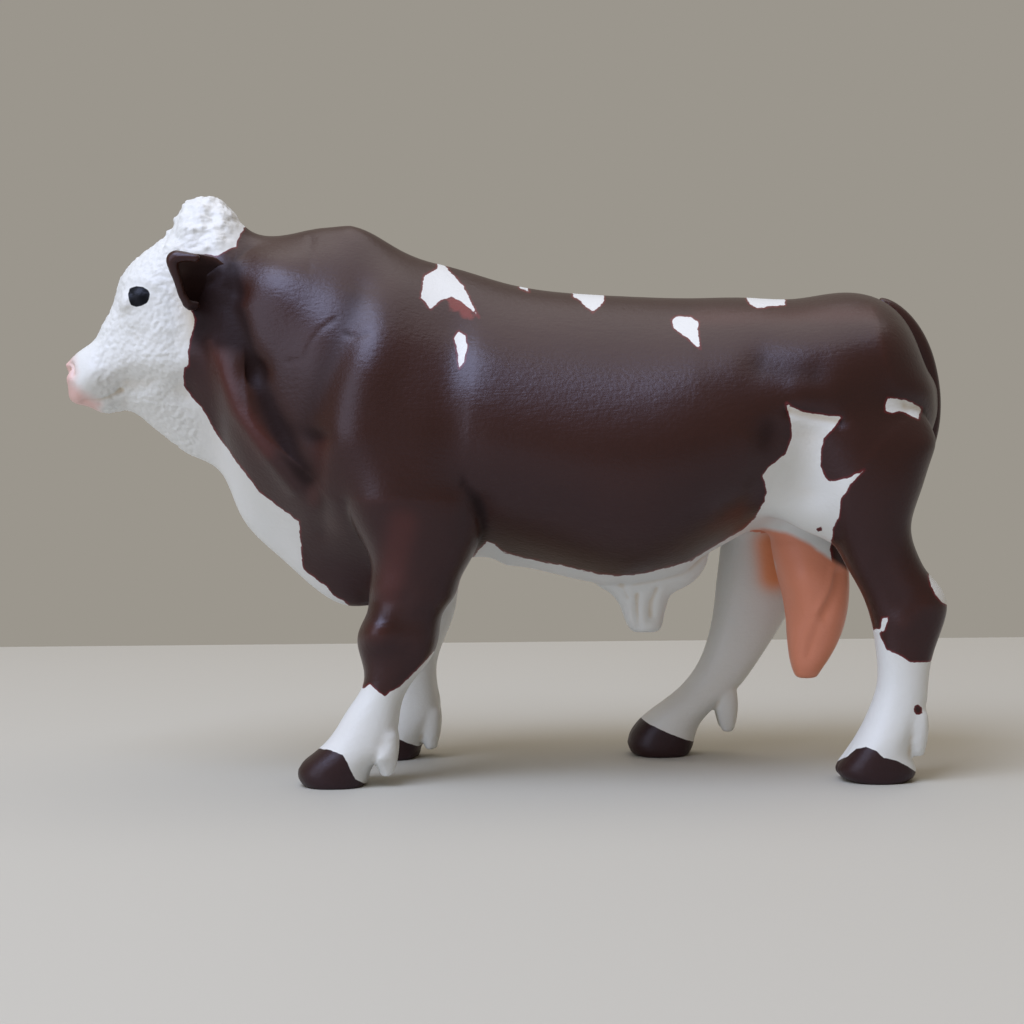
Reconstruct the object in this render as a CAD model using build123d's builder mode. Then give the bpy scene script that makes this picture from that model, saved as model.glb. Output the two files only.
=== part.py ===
"""Moulded bull figurine: body halves round a core, with plugged-in head, ears, legs, tail and underparts.

The nose points along -X, the animal's left side faces -Y and +Z is up.
The origin is on the floor, under the middle of the figure.
"""

import os
from math import cos, pi, sin

from build123d import *

os.makedirs("parts", exist_ok=True)

# Overall sizes, in millimetres
figure_length = 135.0
figure_height = 88.7
barrel_width = 48.0

# Body halves and the core that fills them
shell_wall = 7.0
core_gap = 0.3
seam_peg_diameter = 3.0
seam_peg_length = 4.0

# Head and its keyed spigot
head_seat_along_share = 0.189
head_seat_height_share = 0.744
head_seat_tilt = 10.0
spigot_width = 9.0
spigot_height = 16.0
spigot_length = 8.0
spigot_corner = 2.0
eye_diameter = 3.6
eye_proud = 0.7
eye_height_share = 0.819

# Ears
ear_length = 11.0
ear_breadth = 8.6
ear_thickness = 3.8
ear_root_height_share = 0.852
ear_forward_angle = 36.0
ear_lean = 20.0
ear_peg_diameter = 2.2
ear_peg_length = 3.0

# Legs
leg_peg_length = 6.0
leg_peg_width = 4.2
leg_peg_height = 6.0
leg_peg_corner = 1.0
cleft_width = 0.8
cleft_depth = 5.0
cleft_height = 5.0
dewclaw_diameter = 3.4
dewclaw_length = 6.4
dewclaw_spread = 4.2
dewclaw_angle = 2.0

# Tail, sheath and scrotum
tail_width = 4.6
tail_thickness = 4.4
tail_peg_diameter = 2.4
tail_peg_length = 6.0
tail_peg_angle = 40.0
sheath_width = 6.4
sheath_seat_share = 0.310
sheath_peg_diameter = 3.0
sheath_peg_length = 6.0
scrotum_width = 11.6
scrotum_seat_share = 0.395
scrotum_peg_diameter = 4.0
scrotum_peg_length = 8.0

# Fits
peg_clearance = 0.12
socket_end_gap = 0.4
overrun = 2.0

# Depths below the back, as shares of a section's height, at which the four half-widths are given
width_depth_shares = (0.10, 0.35, 0.68, 0.92)

# Sections of head and trunk from the nose to the rump: place along the figure, top and bottom edges,
# then half-widths at the crest, upper side, lower side and keel
skin_shares = [
    (0.000, 0.711, 0.657, 0.09, 0.14, 0.14, 0.10),
    (0.013, 0.729, 0.637, 0.15, 0.22, 0.22, 0.16),
    (0.029, 0.753, 0.628, 0.16, 0.23, 0.24, 0.17),
    (0.045, 0.795, 0.626, 0.15, 0.23, 0.23, 0.16),
    (0.061, 0.850, 0.628, 0.16, 0.25, 0.24, 0.15),
    (0.081, 0.889, 0.623, 0.21, 0.31, 0.27, 0.14),
    (0.104, 0.920, 0.598, 0.23, 0.34, 0.30, 0.13),
    (0.125, 0.953, 0.572, 0.23, 0.35, 0.32, 0.12),
    (0.141, 0.990, 0.555, 0.22, 0.35, 0.33, 0.12),
    (0.159, 1.000, 0.543, 0.21, 0.37, 0.36, 0.12),
    (0.177, 0.993, 0.522, 0.23, 0.41, 0.39, 0.12),
    (0.195, 0.969, 0.460, 0.27, 0.49, 0.44, 0.12),
    (0.216, 0.940, 0.412, 0.33, 0.57, 0.50, 0.13),
    (0.243, 0.932, 0.374, 0.38, 0.63, 0.56, 0.14),
    (0.278, 0.944, 0.325, 0.40, 0.69, 0.65, 0.16),
    (0.312, 0.951, 0.292, 0.42, 0.75, 0.75, 0.17),
    (0.346, 0.939, 0.290, 0.42, 0.80, 0.83, 0.19),
    (0.386, 0.903, 0.316, 0.41, 0.83, 0.90, 0.26),
    (0.438, 0.876, 0.362, 0.42, 0.85, 0.92, 0.42),
    (0.506, 0.845, 0.372, 0.44, 0.86, 0.94, 0.54),
    (0.575, 0.828, 0.351, 0.47, 0.88, 0.98, 0.60),
    (0.643, 0.821, 0.336, 0.48, 0.90, 1.00, 0.62),
    (0.712, 0.817, 0.362, 0.49, 0.90, 0.97, 0.58),
    (0.775, 0.817, 0.409, 0.50, 0.88, 0.90, 0.46),
    (0.832, 0.814, 0.444, 0.51, 0.87, 0.83, 0.35),
    (0.889, 0.824, 0.470, 0.49, 0.82, 0.75, 0.29),
    (0.935, 0.804, 0.504, 0.42, 0.70, 0.62, 0.25),
    (0.962, 0.752, 0.548, 0.29, 0.50, 0.46, 0.21),
    (0.977, 0.690, 0.600, 0.15, 0.28, 0.27, 0.14),
]
eye_row = 5
ear_row = 10
crest_row = 14
belly_row = 18
loin_row = 24
core_first_row = 15
core_last_row = 25

# Leg sections from the trunk to the sole: height, front and rear of the left leg, front and rear of the
# right leg, then the centre's distance from the middle plane and the half-width
foreleg_shares = [
    (0.600, 0.326, 0.484, 0.330, 0.488, 0.520, 0.290),
    (0.530, 0.318, 0.490, 0.321, 0.493, 0.594, 0.338),
    (0.460, 0.328, 0.482, 0.331, 0.485, 0.583, 0.336),
    (0.400, 0.347, 0.471, 0.352, 0.473, 0.550, 0.300),
    (0.338, 0.350, 0.448, 0.356, 0.452, 0.525, 0.258),
    (0.300, 0.350, 0.438, 0.355, 0.444, 0.517, 0.233),
    (0.250, 0.338, 0.427, 0.348, 0.436, 0.508, 0.233),
    (0.214, 0.340, 0.419, 0.353, 0.426, 0.508, 0.217),
    (0.169, 0.343, 0.396, 0.362, 0.417, 0.517, 0.167),
    (0.124, 0.325, 0.383, 0.361, 0.418, 0.525, 0.175),
    (0.090, 0.311, 0.380, 0.353, 0.421, 0.529, 0.192),
    (0.061, 0.294, 0.371, 0.341, 0.414, 0.533, 0.204),
    (0.023, 0.270, 0.350, 0.322, 0.398, 0.538, 0.217),
    (0.000, 0.277, 0.346, 0.330, 0.393, 0.538, 0.208),
]
hindleg_shares = [
    (0.660, 0.772, 0.930, 0.756, 0.920, 0.440, 0.270),
    (0.580, 0.785, 0.958, 0.752, 0.940, 0.530, 0.345),
    (0.510, 0.815, 0.961, 0.756, 0.926, 0.556, 0.345),
    (0.436, 0.850, 0.947, 0.759, 0.891, 0.557, 0.296),
    (0.375, 0.868, 0.958, 0.755, 0.867, 0.552, 0.246),
    (0.342, 0.881, 0.969, 0.753, 0.858, 0.550, 0.229),
    (0.300, 0.896, 0.985, 0.751, 0.851, 0.550, 0.208),
    (0.259, 0.904, 0.981, 0.748, 0.838, 0.550, 0.192),
    (0.209, 0.909, 0.970, 0.741, 0.818, 0.550, 0.171),
    (0.158, 0.909, 0.965, 0.727, 0.796, 0.550, 0.167),
    (0.116, 0.900, 0.961, 0.704, 0.774, 0.550, 0.179),
    (0.073, 0.886, 0.947, 0.667, 0.741, 0.554, 0.200),
    (0.040, 0.871, 0.945, 0.648, 0.727, 0.554, 0.213),
    (0.000, 0.877, 0.941, 0.653, 0.717, 0.554, 0.204),
]
joint_row = 4
fetlock_row = -4
toe_row = -2

# Tail centre line from the root to the tip of the switch: place along the figure, height, width, thickness
tail_shares = [
    (0.925, 0.800, 0.80, 0.70),
    (0.945, 0.782, 1.00, 0.90),
    (0.964, 0.745, 1.00, 1.00),
    (0.979, 0.685, 0.92, 1.00),
    (0.984, 0.640, 0.86, 0.94),
    (0.983, 0.590, 0.80, 0.88),
    (0.970, 0.520, 0.72, 0.80),
    (0.953, 0.440, 0.84, 0.84),
    (0.944, 0.365, 1.00, 0.92),
    (0.940, 0.300, 0.50, 0.46),
]
tail_seat_row = 2

# Underparts: height, front, rear and half-width
sheath_shares = [
    (0.400, 0.580, 0.740, 1.00),
    (0.345, 0.600, 0.725, 1.00),
    (0.310, 0.622, 0.704, 0.86),
    (0.275, 0.636, 0.689, 0.74),
    (0.248, 0.643, 0.683, 0.70),
    (0.238, 0.650, 0.676, 0.42),
]
scrotum_shares = [
    (0.520, 0.800, 0.880, 0.72),
    (0.430, 0.802, 0.886, 0.90),
    (0.350, 0.810, 0.894, 1.00),
    (0.290, 0.818, 0.894, 0.98),
    (0.225, 0.823, 0.884, 0.80),
    (0.180, 0.827, 0.868, 0.56),
    (0.155, 0.834, 0.856, 0.26),
]

# Ear sections from the root to the tip: place along the ear, breadth and thickness
ear_shares = [
    (-0.25, 0.40, 0.80),
    (0.00, 0.46, 0.84),
    (0.28, 0.82, 1.00),
    (0.60, 1.00, 0.90),
    (0.86, 0.74, 0.62),
    (1.00, 0.34, 0.34),
]
ear_cup_depth_share = 0.62
ear_cup_size_share = 0.70
ear_cup_first_row = 2

# Muscles that stand out of the trunk on either side: place along the figure, height and distance from the
# middle plane of the front end, the same of the rear end, then the half-thickness
muscle_shares = [
    (0.215, 0.891, 0.163, 0.278, 0.789, 0.454, 0.208),
    (0.304, 0.660, 0.717, 0.370, 0.851, 0.363, 0.229),
    (0.315, 0.598, 0.725, 0.404, 0.767, 0.550, 0.250),
    (0.759, 0.519, 0.583, 0.878, 0.412, 0.542, 0.167),
    (0.774, 0.686, 0.758, 0.889, 0.636, 0.738, 0.188),
]
# Grooves pressed into the trunk behind the jaws, in the same way
groove_shares = [
    (0.219, 0.789, 0.708, 0.285, 0.496, 0.808, 0.167),
]

# Ovals are drawn through this many points; the core's start high on the left, clear of the halves' sockets
oval_points = 8
core_first_point = 3
oval_squareness = 2.3


def along(share):
    """Distance along the figure, from a share of its length counted from the nose."""
    return figure_length * share - figure_length / 2


def outline_face(plane, points):
    """A face inside one closed smooth curve, drawn on a plane."""
    with BuildSketch(plane) as outline:
        with BuildLine():
            Spline(points, periodic=True)
        make_face()
    return outline.sketch


def oval_face(plane, centre_x, centre_y, half_x, half_y, first_point=0):
    """A slightly squared oval on a plane."""
    points = []
    for step in range(first_point, first_point + oval_points):
        angle = 2 * pi * step / oval_points
        reach = abs(cos(angle)) ** oval_squareness + abs(sin(angle)) ** oval_squareness
        radius = reach ** (-1 / oval_squareness)
        points.append((centre_x + half_x * radius * cos(angle), centre_y + half_y * radius * sin(angle)))
    return outline_face(plane, points)


def row_edges(row):
    """Place along the figure, top edge and bottom edge of a row of the skin table."""
    return along(row[0]), figure_height * row[1], figure_height * row[2]


def skin_section(row):
    """One upright section of head or trunk, the same on both sides."""
    x, top, bottom = row_edges(row)
    side = [
        (barrel_width / 2 * width, top - depth * (top - bottom))
        for width, depth in zip(row[3:], width_depth_shares)
    ]
    other_side = [(-across, up) for across, up in reversed(side)]
    return outline_face(Plane.YZ.offset(x), [side[-1], (0, bottom), *other_side, (0, top), *side[:-1]])


def core_section(row, gap):
    """One oval section of the core, or of its cavity where the gap is zero."""
    x, top, bottom = row_edges(row)
    half_width = barrel_width / 2 * max(row[3:]) - shell_wall - gap
    half_height = (top - bottom) / 2 - shell_wall - gap
    return oval_face(Plane.YZ.offset(x), 0, (top + bottom) / 2, half_width, half_height, core_first_point)


def leg_place(row, side):
    """Centre along and across, half-length and half-width of a leg section; side is -1 on the left."""
    front, rear = (row[1], row[2]) if side < 0 else (row[3], row[4])
    half_length = (along(rear) - along(front)) / 2
    half_width, middle = barrel_width / 2 * row[6], side * barrel_width / 2 * row[5]
    return along(front) + half_length, middle, half_length, half_width


def leg_sections(rows, side):
    """Level oval sections of one leg."""
    return [oval_face(Plane.XY.offset(figure_height * row[0]), *leg_place(row, side)) for row in rows]


def muscle(row, side):
    """A spindle-shaped muscle on one side of the trunk."""
    ends = [
        Vector(along(x), side * barrel_width / 2 * y, figure_height * z) for x, z, y in (row[:3], row[3:6])
    ]
    middle, run = (ends[0] + ends[1]) / 2, ends[1] - ends[0]
    with BuildPart() as spindle:
        with BuildSketch(Plane(origin=middle, x_dir=run, z_dir=run.cross(Vector(0, -side, 0)))):
            with BuildLine():
                EllipticalCenterArc((0, 0), run.length / 2, barrel_width / 2 * row[6], 0, arc_size=180)
                Line((-run.length / 2, 0), (run.length / 2, 0))
            make_face()
        revolve(axis=Axis(middle, run))
    return spindle.part


def leg_peg(rows, side, gap, end_gap):
    """The keyed peg on top of a lower leg, or its socket where gaps are given."""
    x, y, _, _ = leg_place(rows[joint_row], side)
    with BuildPart() as peg:
        with BuildSketch(Plane.XY.offset(figure_height * rows[joint_row][0])):
            with Locations((x, y)):
                RectangleRounded(leg_peg_length + 2 * gap, leg_peg_width + 2 * gap, leg_peg_corner + gap)
        extrude(amount=leg_peg_height + end_gap)
    return peg.part


def hoof_cleft(rows, side):
    """The slot between the two toes, from the front of the hoof."""
    x, y, half_length, _ = leg_place(rows[toe_row], side)
    with BuildPart() as cleft:
        with BuildSketch(Plane.XY.offset(-overrun)):
            with Locations((x - half_length + cleft_depth / 2 - overrun / 2, y)):
                Rectangle(cleft_depth + overrun, cleft_width)
        extrude(amount=cleft_height + overrun)
    return cleft.part


def dewclaws(rows, side):
    """The pair of small spurs behind the fetlock."""
    x, y, half_length, _ = leg_place(rows[fetlock_row], side)
    with BuildPart() as spurs:
        for across in (-dewclaw_spread / 2, dewclaw_spread / 2):
            root = (x + half_length - dewclaw_diameter / 2, y + across, figure_height * rows[fetlock_row][0])
            lean = Plane(origin=root, x_dir=(0, 1, 0), z_dir=Vector(0, 0, -1).rotate(Axis.Y, -dewclaw_angle))
            oval = dewclaw_diameter / 2
            loft(
                sections=[
                    oval_face(lean, 0, 0, oval, oval),
                    oval_face(lean.offset(dewclaw_length / 2), 0, 0, oval, oval),
                    oval_face(lean.offset(dewclaw_length), 0, 0, oval / 2, oval / 2),
                ]
            )
    return spurs.part


def hanging_sections(rows, width):
    """Level oval sections of a piece that hangs on the middle plane."""
    sections = []
    for up, front, rear, breadth in rows:
        half_length = (along(rear) - along(front)) / 2
        level = Plane.XY.offset(figure_height * up)
        sections.append(oval_face(level, along(front) + half_length, 0, half_length, width / 2 * breadth))
    return sections


def round_peg(plane, diameter, length):
    """A round peg that stands on a plane."""
    with BuildPart() as peg:
        with BuildSketch(plane):
            Circle(diameter / 2)
        extrude(amount=length)
    return peg.part


def peg_socket(plane, diameter, length):
    """The socket for a round peg."""
    return round_peg(plane, diameter + 2 * peg_clearance, length + socket_end_gap)


left, right = -1, 1
head_seat = Plane(
    origin=(along(head_seat_along_share), 0, figure_height * head_seat_height_share),
    x_dir=(0, 1, 0),
    z_dir=Vector(1, 0, 0).rotate(Axis.Y, head_seat_tilt),
)

# Head and trunk in one skin, which the head seat parts
with BuildPart() as skin:
    loft(sections=[skin_section(row) for row in skin_shares])

# Trunk with the shoulders and thighs grown out of it, still solid
with BuildPart() as trunk:
    add(skin.part)
    split(bisect_by=head_seat, keep=Keep.TOP)
    for leg_side in (left, right):
        loft(sections=leg_sections(foreleg_shares[: joint_row + 1], leg_side))
        loft(sections=leg_sections(hindleg_shares[: joint_row + 1], leg_side))
        for row in muscle_shares:
            add(muscle(row, leg_side))
        for row in groove_shares:
            add(muscle(row, leg_side), mode=Mode.SUBTRACT)

# Places of the pegs that line up the body halves, on the middle plane
crest_x, crest_top, brisket_bottom = row_edges(skin_shares[crest_row])
belly_x, _, belly_bottom = row_edges(skin_shares[belly_row])
loin_x, loin_top, _ = row_edges(skin_shares[loin_row])
seam_peg_places = [
    (crest_x, crest_top - shell_wall / 2),
    (crest_x, brisket_bottom + 2 * shell_wall),
    (belly_x, belly_bottom + shell_wall / 2),
    (loin_x, loin_top - shell_wall / 2),
]

# Planes on which the pegs of tail, sheath and scrotum start, each facing into the body
tail_seat = Plane(
    origin=(along(tail_shares[tail_seat_row][0]), 0, figure_height * tail_shares[tail_seat_row][1]),
    x_dir=(0, 1, 0),
    z_dir=Vector(-1, 0, 0).rotate(Axis.Y, -tail_peg_angle),
).offset(-tail_thickness / 4)
sheath_middle_share = (sheath_shares[-1][1] + sheath_shares[-1][2]) / 2
sheath_seat = Plane(origin=(along(sheath_middle_share), 0, figure_height * sheath_seat_share))
scrotum_middle_share = (scrotum_shares[0][1] + scrotum_shares[0][2]) / 2
scrotum_seat = Plane(origin=(along(scrotum_middle_share), 0, figure_height * scrotum_seat_share))

# Hollow for the core, and every socket of the body
core_rows = skin_shares[core_first_row : core_last_row + 1]
with BuildPart() as hollow:
    loft(sections=[core_section(row, 0) for row in core_rows])
    with BuildSketch(head_seat):
        RectangleRounded(
            spigot_width + 2 * peg_clearance, spigot_height + 2 * peg_clearance, spigot_corner + peg_clearance
        )
    extrude(amount=spigot_length + socket_end_gap)
    for leg_side in (left, right):
        add(leg_peg(foreleg_shares, leg_side, peg_clearance, socket_end_gap))
        add(leg_peg(hindleg_shares, leg_side, peg_clearance, socket_end_gap))
    add(peg_socket(tail_seat, tail_peg_diameter, tail_peg_length))
    add(peg_socket(sheath_seat, sheath_peg_diameter, sheath_peg_length))
    add(peg_socket(scrotum_seat, scrotum_peg_diameter, scrotum_peg_length))

# Left body half, with the pegs
with BuildPart() as body_left:
    add(trunk.part)
    split(bisect_by=Plane.XZ, keep=Keep.TOP)
    add(hollow.part, mode=Mode.SUBTRACT)
    for peg_x, peg_z in seam_peg_places:
        add(
            round_peg(
                Plane(origin=(peg_x, -overrun, peg_z), z_dir=(0, 1, 0)),
                seam_peg_diameter,
                overrun + seam_peg_length,
            )
        )
body_left.part.label = "body_left"
export_step(body_left.part, "parts/body_left.step")

# Right body half, with the sockets
with BuildPart() as body_right:
    add(trunk.part)
    split(bisect_by=Plane.XZ, keep=Keep.BOTTOM)
    add(hollow.part, mode=Mode.SUBTRACT)
    for peg_x, peg_z in seam_peg_places:
        add(
            peg_socket(
                Plane(origin=(peg_x, 0, peg_z), z_dir=(0, 1, 0)),
                seam_peg_diameter,
                seam_peg_length,
            ),
            mode=Mode.SUBTRACT,
        )
body_right.part.label = "body_right"
export_step(body_right.part, "parts/body_right.step")

# Core inside the body halves
with BuildPart() as body_core:
    loft(sections=[core_section(row, core_gap) for row in core_rows])
body_core.part.label = "body_core"
export_step(body_core.part, "parts/body_core.step")

# Where an ear is plugged in, and the inward plane on which its peg starts
ear_axis = Vector(-1, 0, 0).rotate(Axis.Z, 90 - ear_forward_angle)
ear_up = Vector(0, 0, 1).rotate(Axis((0, 0, 0), ear_axis), ear_lean)
ear_root = (along(skin_shares[ear_row][0]), -barrel_width / 2 * skin_shares[ear_row][4])
ear_seat = Plane(
    origin=(*ear_root, figure_height * ear_root_height_share),
    x_dir=ear_up.cross(ear_axis),
    z_dir=ear_axis,
)
ear_peg_start = Plane(origin=ear_seat.origin + ear_axis * overrun, z_dir=-ear_axis)

# Head before its sockets are cut, with eyes that stand proud of the skin
with BuildPart() as head_block:
    add(skin.part)
    split(bisect_by=head_seat, keep=Keep.BOTTOM)
    eye_across = barrel_width / 2 * skin_shares[eye_row][4] + eye_proud - eye_diameter / 2
    with Locations(
        (along(skin_shares[eye_row][0]), -eye_across, figure_height * eye_height_share),
        (along(skin_shares[eye_row][0]), eye_across, figure_height * eye_height_share),
    ):
        Sphere(eye_diameter / 2)

# Left ear before it is fitted to the head, cupped on its outer side
with BuildPart() as ear_blank:
    loft(
        sections=[
            oval_face(
                ear_seat.offset(ear_length * out),
                0,
                0,
                ear_thickness / 2 * thick,
                ear_breadth / 2 * broad,
            )
            for out, broad, thick in ear_shares
        ]
    )
    loft(
        sections=[
            oval_face(
                ear_seat.offset(ear_length * out),
                ear_thickness / 2 * thick * ear_cup_depth_share,
                0,
                ear_thickness / 2 * thick * ear_cup_size_share,
                ear_breadth / 2 * broad * ear_cup_size_share,
            )
            for out, broad, thick in ear_shares[ear_cup_first_row:-1]
        ],
        mode=Mode.SUBTRACT,
    )

# Left ear, with its peg
ear_peg = round_peg(ear_peg_start, ear_peg_diameter, overrun + ear_peg_length)
with BuildPart() as ear_left:
    add(ear_blank.part)
    add(head_block.part, mode=Mode.SUBTRACT)
    add(ear_peg)
ear_left.part.label = "ear_left"
export_step(ear_left.part, "parts/ear_left.step")

# Right ear, from the mirror images of the left one's blank and peg
with BuildPart() as ear_right:
    mirror(ear_blank.part, about=Plane.XZ)
    add(head_block.part, mode=Mode.SUBTRACT)
    mirror(ear_peg, about=Plane.XZ)
ear_right.part.label = "ear_right"
export_step(ear_right.part, "parts/ear_right.step")

# Head with its spigot and the ear sockets
with BuildPart() as head:
    add(head_block.part)
    with BuildSketch(head_seat):
        RectangleRounded(spigot_width, spigot_height, spigot_corner)
    extrude(amount=spigot_length)
    ear_socket = peg_socket(ear_peg_start, ear_peg_diameter, overrun + ear_peg_length)
    add(ear_socket, mode=Mode.SUBTRACT)
    mirror(ear_socket, about=Plane.XZ, mode=Mode.SUBTRACT)
head.part.label = "head"
export_step(head.part, "parts/head.step")

# Lower legs, each with a keyed peg on top, a cloven hoof and dewclaws
with BuildPart() as foreleg_left:
    loft(sections=leg_sections(foreleg_shares[joint_row:], left))
    add(dewclaws(foreleg_shares, left))
    add(hoof_cleft(foreleg_shares, left), mode=Mode.SUBTRACT)
    add(leg_peg(foreleg_shares, left, 0, 0))
foreleg_left.part.label = "foreleg_left"
export_step(foreleg_left.part, "parts/foreleg_left.step")

with BuildPart() as foreleg_right:
    loft(sections=leg_sections(foreleg_shares[joint_row:], right))
    add(dewclaws(foreleg_shares, right))
    add(hoof_cleft(foreleg_shares, right), mode=Mode.SUBTRACT)
    add(leg_peg(foreleg_shares, right, 0, 0))
foreleg_right.part.label = "foreleg_right"
export_step(foreleg_right.part, "parts/foreleg_right.step")

with BuildPart() as hindleg_left:
    loft(sections=leg_sections(hindleg_shares[joint_row:], left))
    add(dewclaws(hindleg_shares, left))
    add(hoof_cleft(hindleg_shares, left), mode=Mode.SUBTRACT)
    add(leg_peg(hindleg_shares, left, 0, 0))
hindleg_left.part.label = "hindleg_left"
export_step(hindleg_left.part, "parts/hindleg_left.step")

with BuildPart() as hindleg_right:
    loft(sections=leg_sections(hindleg_shares[joint_row:], right))
    add(dewclaws(hindleg_shares, right))
    add(hoof_cleft(hindleg_shares, right), mode=Mode.SUBTRACT)
    add(leg_peg(hindleg_shares, right, 0, 0))
hindleg_right.part.label = "hindleg_right"
export_step(hindleg_right.part, "parts/hindleg_right.step")

# Tail, which lies on the rump, with a peg at its root
tail_line = [Vector(along(row[0]), 0, figure_height * row[1]) for row in tail_shares]
tail_sections = []
for step, (_, _, broad, thick) in enumerate(tail_shares):
    before, after = tail_line[max(step - 1, 0)], tail_line[min(step + 1, len(tail_line) - 1)]
    across_tail = Plane(origin=tail_line[step], x_dir=(0, 1, 0), z_dir=after - before)
    tail_sections.append(oval_face(across_tail, 0, 0, tail_width / 2 * broad, tail_thickness / 2 * thick))
with BuildPart() as tail:
    loft(sections=tail_sections)
    add(trunk.part, mode=Mode.SUBTRACT)
    add(round_peg(tail_seat, tail_peg_diameter, tail_peg_length))
tail.part.label = "tail"
export_step(tail.part, "parts/tail.step")

# Sheath under the belly
with BuildPart() as sheath:
    loft(sections=hanging_sections(sheath_shares, sheath_width))
    add(trunk.part, mode=Mode.SUBTRACT)
    add(round_peg(sheath_seat, sheath_peg_diameter, sheath_peg_length))
sheath.part.label = "sheath"
export_step(sheath.part, "parts/sheath.step")

# Scrotum between the thighs
with BuildPart() as scrotum:
    loft(sections=hanging_sections(scrotum_shares, scrotum_width))
    add(trunk.part, mode=Mode.SUBTRACT)
    add(round_peg(scrotum_seat, scrotum_peg_diameter, scrotum_peg_length))
scrotum.part.label = "scrotum"
export_step(scrotum.part, "parts/scrotum.step")
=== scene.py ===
# %% [markdown]
# # A painted bull figurine
#
# The real object is a hand-sized bull, moulded in plastic, then sprayed and brushed with paint. Its pieces
# and sizes come from the CAD solids. Blender could dress each solid by itself, but the coat runs on over the
# joints. So one skin is drawn over all the solids, sculpted, painted, and cut apart again at the same joints:
# every piece then stands where its solid stands. The sculpting cells work in millimetres, and Blender's own
# objects are in metres.

import math

import bmesh
import bpy
import numpy as np
from mathutils import Matrix, Vector


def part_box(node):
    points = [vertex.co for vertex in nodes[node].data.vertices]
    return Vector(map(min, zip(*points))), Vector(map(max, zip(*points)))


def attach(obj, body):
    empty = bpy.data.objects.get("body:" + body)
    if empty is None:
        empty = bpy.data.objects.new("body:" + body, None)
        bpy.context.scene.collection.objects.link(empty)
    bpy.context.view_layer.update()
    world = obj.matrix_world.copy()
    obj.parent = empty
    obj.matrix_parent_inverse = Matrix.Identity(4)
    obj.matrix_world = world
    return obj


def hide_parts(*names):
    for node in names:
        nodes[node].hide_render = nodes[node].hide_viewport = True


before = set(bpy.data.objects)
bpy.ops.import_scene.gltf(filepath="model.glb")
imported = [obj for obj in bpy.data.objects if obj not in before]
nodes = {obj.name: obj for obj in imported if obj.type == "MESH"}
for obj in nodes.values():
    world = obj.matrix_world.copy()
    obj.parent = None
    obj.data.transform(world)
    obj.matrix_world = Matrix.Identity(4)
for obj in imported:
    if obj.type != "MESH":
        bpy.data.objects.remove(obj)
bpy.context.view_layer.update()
MM = 0.001

# %% [markdown]
# ## The camera of the photograph
#
# The figure was photographed from its left side, from about a third of a metre, a little above the belly.
# A camera could be dragged into place by eye. Here its place is worked out from a few known points, so that
# `seen` can say which pixel of the photograph shows a point of the object, and `placed` can go the other
# way. Muscles and paint are then laid out in the photograph's own pixels.

# %% Camera
# Focal length and width of the photograph in pixels, width of film in millimetres
FOCAL, PICTURE, FILM = 2073.0, 1024, 36.0
MIDDLE = PICTURE / 2
NEAR_CLIP = 0.01
EYE_POINT = np.array([1.2, -320.0, 52.8])
PITCH, ROLL = math.radians(2.32), math.radians(0.55)
forward = np.array([0.0, math.cos(PITCH), -math.sin(PITCH)])
level_up = np.array([0.0, math.sin(PITCH), math.cos(PITCH)])
level_right = np.array([1.0, 0.0, 0.0])
camera_right = level_right * math.cos(ROLL) - level_up * math.sin(ROLL)
camera_up = level_up * math.cos(ROLL) + level_right * math.sin(ROLL)


def seen(points):
    """Pixels that show points given in millimetres."""
    ray = points - EYE_POINT
    depth = ray @ forward
    along = MIDDLE + FOCAL * (ray @ camera_right) / depth
    down = MIDDLE - FOCAL * (ray @ camera_up) / depth
    return np.stack([along, down], axis=1)


def placed(pixels, across):
    """Points, in millimetres, that pixels show at given distances from the middle plane."""
    shift = (np.asarray(pixels, dtype=float) - MIDDLE) / FOCAL
    ray = forward + shift[:, :1] * camera_right - shift[:, 1:] * camera_up
    return EYE_POINT + ray * ((across - EYE_POINT[1]) / ray[:, 1])[:, None]


camera = bpy.data.objects.new("photo_camera", bpy.data.cameras.new("photo_camera"))
bpy.context.scene.collection.objects.link(camera)
camera.data.sensor_width = FILM
camera.data.lens = FILM * FOCAL / PICTURE
camera.data.clip_start = NEAR_CLIP
camera.rotation_mode = "QUATERNION"
camera.location = Vector(EYE_POINT * MM)
camera_axes = np.stack([camera_right, camera_up, -forward], axis=1)
camera.rotation_quaternion = Matrix(camera_axes.tolist()).to_quaternion()
bpy.context.scene.camera = camera
NOSE_AND_HIP = np.array([[-67.5, 0, 60.0], [45.0, 0, 72.0]])
print("nose and hip are seen at", seen(NOSE_AND_HIP).round().tolist())

# %% [markdown]
# ## One skin over the solids
#
# The mould gave the figure one continuous surface. Copies of the solids are joined and wrapped in an even
# mesh by Remesh in voxel mode, with 0.4 mm spacing. Boolean unions would also join them, but they leave
# long thin faces that can't be sculpted. The wrap keeps only the outside, so the core vanishes inside it.
# The ears are made later, so balls fill their sockets, which would show as pits.

# %% Wrapping
# Spacing of the wrap in millimetres, distance in metres at which points become one
SPACING, WELD = 0.4, 1e-6
LEGS = ["foreleg_left", "foreleg_right", "hindleg_left", "hindleg_right"]
EAR_SOCKETS, SOCKET_RADIUS = [(-43.7, -7.6, 75.6), (-43.7, 7.6, 75.6)], 2.1


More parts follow.
